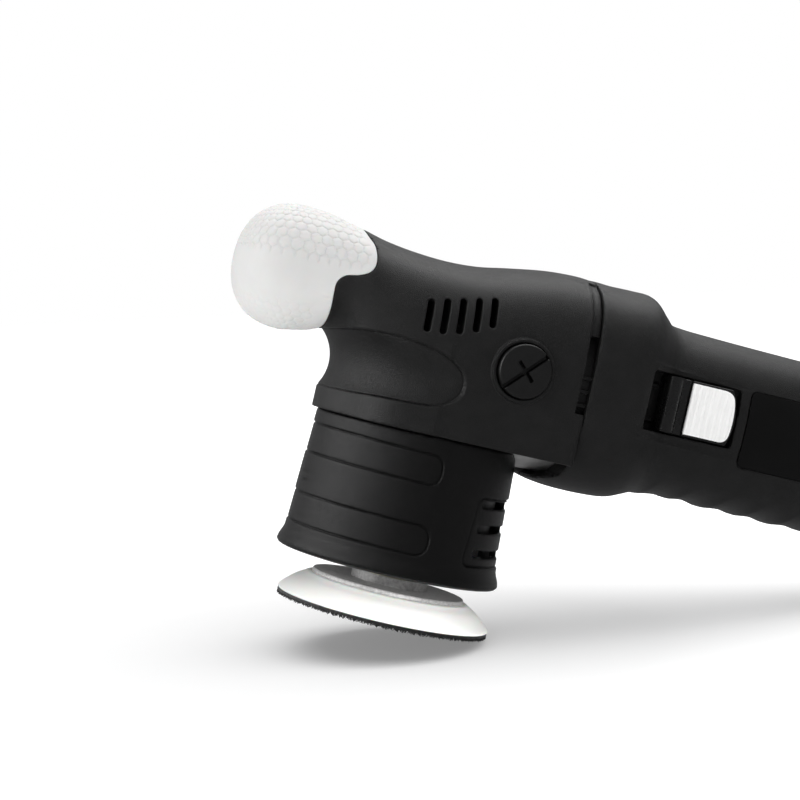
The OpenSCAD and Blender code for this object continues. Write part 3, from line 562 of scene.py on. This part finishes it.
def shroud_field(p):
    x, y, z = p
    r = np.hypot(x, y)
    band1, band2, panel, catch, behind = shroud_marks(p)
    outer = r > 35.4
    d = SHROUD(r, z)
    cut = 0.22 * (ramp(0.25, -0.35, band1) + ramp(0.25, -0.35, band2)) + 0.5 * ramp(0.25, -0.3, panel)
    cut = cut + 0.35 * bump(catch, 0.3) + 0.5 * (bump(band1, 0.34) + bump(band2, 0.34) + bump(panel, 0.34))
    d = np.where(outer, d + cut, d)
    for zc in (29.4, 38.0, 46.4):
        lean = 37 * math.radians(57.4) - abs(zc - 36) * 0.08
        slot = round_rect(behind, z, (37 * math.radians(8), zc - 1.35), (lean, zc + 1.35), 0.9)
        d = smax(d, -np.maximum(slot, 25 - r), 0.4)
    barrel = np.maximum(np.hypot(y, z - MOTOR_Z) - 33.7, 9 - x)
    return smax(d, -barrel, 0.4)


def baffle_field(p):
    """The curved screen that stands inside the louvres, on three ribs."""
    x, y, z = p
    r, turn = np.hypot(x, y), np.abs(np.degrees(np.arctan2(y, x)))
    high = np.abs(z - 40.6) - 8.8
    screen = np.maximum.reduce(np.broadcast_arrays(np.abs(r - 31.9) - 0.5, (turn - 62) * 0.55, high))
    across = np.minimum(np.abs(y), np.abs(turn - 61) * 0.58) - 0.8
    rib = np.maximum.reduce(np.broadcast_arrays(across, np.abs(r - 33.4) - 1.4, high, -x))
    return np.minimum(screen, rib)


def shroud_details(p):
    band1, band2, panel, catch, behind = shroud_marks(p)
    near = np.minimum.reduce([np.abs(band1), np.abs(band2), np.abs(panel), np.abs(catch)])
    return np.where(np.hypot(p[0], p[1]) < 35.3, 9, near)


moulding("shroud_skin", shroud_field, (-39.6, -39.6, 16.8), (39.6, 39.6, 65.4), 0.74, "shroud_plastic",
         ["shroud"], near=shroud_details, widths=(1.2, 0.7),
         extra=(baffle_field, (14, -33, 31.8), (34.8, 33, 49.4), 0.45))

# ---- handle halves --------------------------------------------------------------------
HANDLE = curve([
    [39, 35.2, 58, 128, 3], [46, 37.2, 56.4, 130, 3.1], [54, 37.2, 55.9, 129.9, 3.1],
    [63, 36.7, 56, 130.1, 3.1], [69, 35.2, 56.6, 129.8, 3], [74, 32.6, 58.3, 126, 2.9],
    [79, 29.8, 60, 122.4, 2.8], [86, 28.6, 60.6, 121.4, 2.7], [97, 28, 61.2, 121, 2.7],
    [110, 27.8, 60.6, 120.7, 2.7], [122, 27.6, 60.5, 120.5, 2.7], [136, 27.5, 60.0, 120.3, 2.7],
    [152, 27.4, 60, 120.2, 2.7], [175, 27.4, 60.6, 120, 2.7], [196, 27.8, 60.4, 120, 2.7],
    [212, 29, 57, 120.6, 2.7], [224, 29.8, 53, 120.8, 2.7], [232, 28, 54, 117.6, 2.6],
    [236, 23.5, 59, 112, 2.5]], 8, False)
FRONT_EDGE = outline([[46, 140], [46, 66], [45, 61.5], [42.5, 59.6], [40, 58.6], [39, 40], [300, 40],
                      [300, 140]])
LABEL = ((108.2, 77.6), (172, 105.1), 2.6)
POCKET = ((68, 83.4), (104.6, 104.2), 1.2)
SCREWS = [(112, 66.5), (112, 114.5), (165, 66), (165, 114.5), (206, 66), (198, 113)]


def handle_body(p):
    x, y, z = p
    d = loft(HANDLE, p)
    under = ramp(72, 63, z + 0.12 * np.abs(y))
    wave = np.abs(np.sin(math.pi * (x - 80.7 - 0.55 * (z - 60)) / 13.8))
    return d + 0.75 * under * (wave - 0.55) * ramp(79, 84, x) * ramp(205, 198, x)


def ledges(x):
    """Heights of the two faint edges above and below the switch."""
    return 106.6 - 0.055 * (x - 66), 80.4 - 0.028 * (x - 66)


def handle_field(side):
    def field(p):
        x, y, z = p
        d = handle_body(p)
        label = round_rect(x, z, *LABEL)
        d = smax(d, -np.maximum(np.maximum(label, -0.7 - d), 12 - np.abs(y)), 0.25)
        if side < 0:
            fade = ramp(64, 70, x) * ramp(109, 101, x)
            for edge in ledges(x):
                d = d - 0.28 * bump(z - edge, 0.42) * fade * (y < -18)
            flat = ramp(80.2, 81.4, z) * ramp(106.2, 105.0, z) * fade
            d = d + 0.3 * flat * (y < -18)
            pocket = np.maximum(round_rect(x, z, *POCKET), y + 23.6)
            d = smax(d, -pocket, 0.5)
            d = np.maximum(d, -box(p, (84, -60, 89), (103.5, -5, 98.4)))
            for zr in (86.2, 98.4):
                d = np.minimum(d, box(p, (71.4, -24.6, zr), (74.6, -22, zr + 1.6)))
            d = np.minimum(d, box(p, (69.6, -24.1, 90.6), (74.6, -22, 96.4)))
        d = smax(d, FRONT_EDGE(x, z), 0.5)
        d = smax(d, x - 236, 0.8)
        d = smax(d, side * -y + 0.06, 0.4)
        d = np.maximum(d, -box(p, (201.6, -4.2, 108), (226.4, 4.2, 140)))
        gland = np.hypot(y, z - 88)
        d = smax(d, -np.maximum(gland - 8.05, 206 - x), 0.4)
        for zs in (72, 80, 96, 104):
            vent = round_rect(np.abs(y), z, (11, zs - 1.1), (24, zs + 1.1), 0.9)
            d = smax(d, -np.maximum(vent, 228 - x), 0.3)
        if side > 0:
            for sx, sz in SCREWS:
                d = smax(d, -np.maximum(np.hypot(x - sx, z - sz) - 3.2, 12 - y), 0.4)
        barrel = np.hypot(y, z - MOTOR_Z)
        return np.maximum(d, np.minimum(33.65 - barrel, 66.5 - x))
    return field


def spigot_field(side):
    """The thin neck that enters the head cover, with short ribs in the air slot."""
    def field(p):
        x, y, z = p
        neck = smax(np.abs(np.hypot(y, z - MOTOR_Z) - 34.15) - 0.42, np.abs(x - 43.6) - 3.6, 0.2)
        near_rib = np.minimum.reduce([np.abs(z - height) for height in (86.4, 91.2, 95.8)])
        rib = smax(smax(near_rib - 0.65, np.abs(np.abs(y) - 34.5) - 0.9, 0.3), np.abs(x - 44.6) - 2.6, 0.3)
        return np.maximum.reduce(np.broadcast_arrays(
            np.minimum(neck, rib), np.abs(z - 93.5) - 26.5, side * -y + 1))
    return field


def handle_details(p):
    x, y, z = p
    label = round_rect(x, z, *LABEL)
    pocket = round_rect(x, z, *POCKET)
    lines = np.minimum(*(np.abs(z - edge) for edge in ledges(x)))
    lines = np.where((x > 64) & (x < 109) & (y < 0), lines, 9)
    both = np.minimum(np.abs(label), np.where(y < 0, np.abs(pocket), 9))
    return np.where(np.abs(y) < 16, 9, np.minimum(both, lines))


def handle_cavity(p):
    x, y, z = p
    d = loft(HANDLE, p) + 2.3
    d = np.maximum(np.maximum(d, x - 233.7), 62 - x)
    return np.maximum(d, -box(p, (66, -42, 81.4), (106.6, -20.8, 106.2)))


for name, side, low, high in (("handle_right_skin", -1, -37.5, 0), ("handle_left_skin", 1, 0, 37.5)):
    moulding(name, handle_field(side), (39, low, 52.5), (236, high, 130.5), 0.82, "cover_plastic",
             [name.replace("_skin", "")], near=handle_details, widths=(1.0,), cavity=handle_cavity,
             cavity_box=((30, -38, 50), (240, 38, 131)), cavity_step=2.4,
             extra=(spigot_field(side), (39.8, low, 66.6), (47.6, high, 120.4), 0.36))


def label_field(side):
    def field(p):
        x, y, z = p
        rect = round_rect(x, z, (108.45, 77.85), (171.75, 104.85), 2.4)
        skin = handle_body(p)
        return np.maximum(smax(np.maximum(rect, skin + 0.08), -0.66 - skin, 0.15), 12 - side * y)
    return field


for name, side in (("label_plate_right", -1), ("label_plate_left", 1)):
    lo, hi = sorted((side * 20.0, side * 28.2))
    moulding(name + "_film", label_field(side), (108, lo, 77), (172, hi, 106), 0.42, "label_film", [name])

# ---- slide switch ----------------------------------------------------------------------


def thumb_arc(x, z):
    """Distance from the centre of the thumb pad's curved rear end."""
    return np.hypot(x - 82.6, z - 92.6)


def thumb_outline(x, z):
    rect = round_rect(x, z, (78, 84.8), (103, 102.8), 3.0)
    return np.maximum(smax(rect, thumb_arc(x, z) - 20.4, 3), 85 - x)


def slider_field(p):
    x, y, z = p
    tail = np.maximum(round_rect(x, z, (75, 84), (103.6, 103.6), 1.2), thumb_arc(x, z) - 21)
    d = smax(tail, np.maximum(-28.7 - y, y + 23.9), 0.5)
    hump = np.maximum(np.hypot(x - 78.3, y + 28.3) - 3.2, round_rect(x, z, (70, 84), (90, 103.6), 0.8))
    d = smin(d, np.maximum(hump, y + 23.9), 0.8)
    d = smax(d, -np.maximum(np.abs(x - 84.7) - 0.28, y + 27.9), 0.3)
    # The relief under the hump passes over the pocket's catches.
    d = np.maximum(d, -box(p, (74, -25.1, 85.3), (82, -20, 100.9)))
    return np.minimum(d, box(p, (91, -24.5, 90), (97, -17, 97.4)))


def thumb_field(p):
    x, y, z = p
    rim = thumb_outline(x, z)
    wave = 0.36 * np.cos(2 * math.pi * (x - 86.2) / 2.45) * ramp(0.2, -0.9, rim)
    return smax(rim, np.maximum(-29.9 + wave - y, y + 28.75), 0.4)


moulding("switch_slider_block", slider_field, (75, -31.8, 84), (103.6, -17, 103.6), 0.3, "gloss_black",
         ["switch_slider"], body="switch")
thumb = moulding("switch_thumb_ribs", thumb_field, (85, -30.2, 84.8), (103, -28.8, 102.8), 0.2,
                 "white_plastic", ["switch_thumb_pad"], body="switch")


# ---- brush caps ------------------------------------------------------------------------
def cap_field(side):
    def field(p):
        x, y, z = p
        u, v = x - CAP_AT[0], z - CAP_AT[1]
        r, top = np.hypot(u, v), side * y - 33.7
        d = smax(r - 9.25, np.maximum(top - 6.8, -top), 1.1)
        d = d + 0.3 * bump(r - 9.3, 0.3) * bump(top - 4.3, 0.3)
        turn = math.radians(45)
        a = u * math.cos(turn) + v * math.sin(turn)
        b = v * math.cos(turn) - u * math.sin(turn)
        bar = np.abs(b) - 0.78
        cross = np.maximum(np.abs(a) - 0.62, np.abs(b) - 4.2)
        return smax(d, -np.maximum(np.minimum(bar, cross), 3.6 - top), 0.25)
    return field


for name, side in (("brush_cap_right", -1), ("brush_cap_left", 1)):
    lo, hi = sorted((side * 33.7, side * 40.6))
    moulding(name + "_disc", cap_field(side), (11.8, lo, 84), (30.4, hi, 102.6), 0.24, "cap_plastic", [name])

# ---- backing pad --------------------------------------------------------------------------
ORBIT_R = 6
ORBIT_AT = math.radians(-84)
PAD = (ORBIT_R * math.cos(ORBIT_AT), ORBIT_R * math.sin(ORBIT_AT))
foam_edge = curve([[36.8, 2.05], [37.3, 2.45], [37.15, 3.0], [36.2, 4.1], [34.4, 5.8], [32, 7.7], [29.8, 9.0],
                   [28.6, 9.75], [27.8, 10.0]], 5, False)
foam = lathe("foam_pad_body", [[0, 2.05], *foam_edge.tolist(), [26.9, 10.0], [0, 10.0]], "pu_foam",
             ["foam_pad"], "pad", PAD, 220, 50)
disc = lathe("backing_disc_plate", [[0, 10.02], [26.7, 10.02], [26.8, 10.15], [26.8, 11.05], [26.55, 11.4],
                                    [26.2, 11.5], [0, 11.5]], "grey_steel", ["backing_disc"], "pad", PAD, 160)


def hook_mat():
    """Backing cloth with rows of small bent hooks; the rim's hooks stick out as a ragged fringe."""
    rng = np.random.default_rng(7)
    verts, faces = [], []

    def prism(points, radii):
        first = len(verts)
        for p, r in zip(points, radii):
            for k in range(4):
                a = math.pi / 2 * k + 0.6
                verts.append([p[0] + r * math.cos(a), p[1] + r * math.sin(a), p[2]])
        n = len(points)
        for j in range(n - 1):
            for k in range(4):
                faces.append([first + 4 * j + k, first + 4 * j + (k + 1) % 4,
                              first + 4 * j + 4 + (k + 1) % 4, first + 4 * j + 4 + k])
        faces.append([first + 3, first + 2, first + 1, first])
        faces.append([first + 4 * (n - 1) + k for k in range(4)])

    sides = 300
    ring = [(37.15 + 0.12 * rng.uniform(-1, 1), 2 * math.pi * i / sides) for i in range(sides)]
    for z in (2.02, 1.1):
        verts.extend([[r * math.cos(a), r * math.sin(a), z] for r, a in ring])
    faces.append(list(range(sides)))
    faces.append(list(range(2 * sides - 1, sides - 1, -1)))
    for i in range(sides):
        j = (i + 1) % sides
        faces.append([i, sides + i, sides + j, j])
    step = 1.25
    for i in range(-30, 31):
        for j in range(-34, 35):
            u, v = (i + 0.5 * (j % 2)) * step, j * step * 0.87
            if math.hypot(u, v) < 36.3:
                lean = rng.uniform(0.15, 0.5) * (1 if i % 2 else -1)
                h = rng.uniform(0.02, 0.22)
                prism([(u, v, 1.0), (u + lean * 0.3, v, 0.5), (u + lean, v, h + 0.02)], [0.2, 0.16, 0.1])
    rim_hooks, r = 230, 36.75
    for i in range(rim_hooks):
        a = 2 * math.pi * (i + rng.uniform(-0.3, 0.3)) / rim_hooks
        out = rng.uniform(0.0, 0.55)
        drop = rng.uniform(0.02, 0.35)
        turn = a + rng.uniform(-0.03, 0.03)
        prism([(r * math.cos(a), r * math.sin(a), 1.5),
               ((r + 0.1) * math.cos(a), (r + 0.1) * math.sin(a), 0.8),
               ((r + out) * math.cos(turn), (r + out) * math.sin(turn), drop)], [0.5, 0.44, 0.1])
    v = np.array(verts) + [PAD[0], PAD[1], 0]
    mesh = bpy.data.meshes.new("hook_face_mat")
    mesh.from_pydata((v * MM).tolist(), [], faces)
    obj = bpy.data.objects.new("hook_face_mat", mesh)
    bpy.context.scene.collection.objects.link(obj)
    return finish_piece(obj, "pad", ["hook_face"], "hook_fabric")


hook_mat()

# ---- studio ---------------------------------------------------------------------------------
scene = bpy.context.scene
scene.view_settings.view_transform = "Standard"


def floor_height(x):
    """The floor slopes, because the tool lies tilted on its pad's edge and its handle."""
    return (x - 0.0402) * math.tan(math.radians(15.7)) - 0.0002


def make_floor(reach):
    """A pale floor that glows softly, and more so away from the tool: its dimmer glow near the tool is
    painted shade round and under it.
    """
    corners = ((-reach, -reach), (reach, -reach), (reach, reach), (-reach, reach))
    mesh = bpy.data.meshes.new("floor")
    mesh.from_pydata([(x, y, floor_height(x)) for x, y in corners], [], [[0, 1, 2, 3]])
    obj = bpy.data.objects.new("floor", mesh)
    scene.collection.objects.link(obj)
    m = bpy.data.materials.new("floor")
    m.use_nodes = True
    shader = m.node_tree.nodes["Principled BSDF"]
    shader.inputs["Base Color"].default_value = (0.86, 0.86, 0.86, 1)
    shader.inputs["Roughness"].default_value = 0.9
    shader.inputs["Emission Color"].default_value = (1, 1, 1, 1)
    place, far, glow_dimmed_near_tool = (m.node_tree.nodes.new(k) for k in (
        "ShaderNodeTexCoord", "ShaderNodeVectorMath", "ShaderNodeMapRange"))
    far.operation = "LENGTH"
    # Painted shade: the glow is weakest near the tool, so the floor round and under it looks darker.
    for key, value in (("From Min", 0.1), ("From Max", 0.45), ("To Min", 0.22), ("To Max", 0.95)):
        glow_dimmed_near_tool.inputs[key].default_value = value
    m.node_tree.links.new(place.outputs["Object"], far.inputs[0])
    m.node_tree.links.new(far.outputs["Value"], glow_dimmed_near_tool.inputs["Value"])
    m.node_tree.links.new(glow_dimmed_near_tool.outputs["Result"], shader.inputs["Emission Strength"])
    mesh.materials.append(m)
    return obj


# The floor brightens the pale parts and catches the shadow, and stays out of the black gloss.
ground = make_floor(3)
ground.visible_glossy = False


def area(name, at, to, size, power, lit):
    """A soft panel at one place, turned to another, that lights only the listed pieces."""
    data = bpy.data.lights.new(name, "AREA")
    data.shape = "RECTANGLE"
    data.size, data.size_y = size
    data.energy = power
    obj = bpy.data.objects.new(name, data)
    obj.location = at
    obj.rotation_euler = (Vector(to) - Vector(at)).to_track_quat("-Z", "Y").to_euler()
    scene.collection.objects.link(obj)
    obj.light_linking.receiver_collection = bpy.data.collections.new(name)
    for piece in lit:
        obj.light_linking.receiver_collection.objects.link(piece)


pale = [foam, grip, thumb]
dark = [o for o in scene.objects if o.type == "MESH" and o not in pale and o is not ground]
left = (-0.85, -0.03, 0.24), (0, -0.03, 0.1), (1.1, 0.66)
top = (0.05, 0.28, 0.95), (0.05, 0.02, 0.08), (1.2, 0.9)
area("left_panel", *left, 9, dark)
area("top_panel", *top, 9.5, dark)
area("top_soft", *top, 11, pale)
area("floor_soft", (0.05, -0.1, 0.8), (0.05, -0.05, 0), (2.2, 1.6), 16, [ground])
area("left_soft", *left, 3.9, pale)
area("knob_soft", (-0.02, -0.42, 0.5), (-0.05, 0, 0.1), (0.5, 0.5), 0.7, [grip, thumb])
area("pad_soft", (0.08, -0.75, 0.12), (0, 0, 0.03), (0.3, 0.2), 5.4, [foam, disc])

# The room that lights the tool is dim grey. What is seen past the floor is white.
world = bpy.data.worlds.new("studio")
world.use_nodes = True
tree = world.node_tree
room = tree.nodes["Background"]
room.inputs["Color"].default_value = (0.24, 0.24, 0.243, 1)
paper = tree.nodes.new("ShaderNodeBackground")
paper.inputs["Color"].default_value = (1, 1, 1, 1)
paths, either = tree.nodes.new("ShaderNodeLightPath"), tree.nodes.new("ShaderNodeMixShader")
tree.links.new(paths.outputs["Is Camera Ray"], either.inputs["Fac"])
tree.links.new(room.outputs[0], either.inputs[1])
tree.links.new(paper.outputs[0], either.inputs[2])
tree.links.new(either.outputs[0], tree.nodes["World Output"].inputs["Surface"])
scene.world = world

yaw, dip, roll = (math.radians(a) for a in (14.539, 0.947, 13.001))
ahead = Vector((math.sin(yaw) * math.cos(dip), math.cos(yaw) * math.cos(dip), -math.sin(dip)))
level = Vector((math.cos(yaw), -math.sin(yaw), 0))
over = level.cross(ahead)
right = level * math.cos(roll) + over * math.sin(roll)
up = over * math.cos(roll) - level * math.sin(roll)
camera = bpy.data.objects.new("camera", bpy.data.cameras.new("camera"))
camera.data.lens, camera.data.sensor_width = 89.57, 36
camera.data.clip_start, camera.data.clip_end = 0.05, 20
camera.matrix_world = Matrix((
    (right.x, up.x, -ahead.x, -0.182926), (right.y, up.y, -ahead.y, -0.672435),
    (right.z, up.z, -ahead.z, 0.085663), (0, 0, 0, 1)))
scene.collection.objects.link(camera)
scene.camera = camera
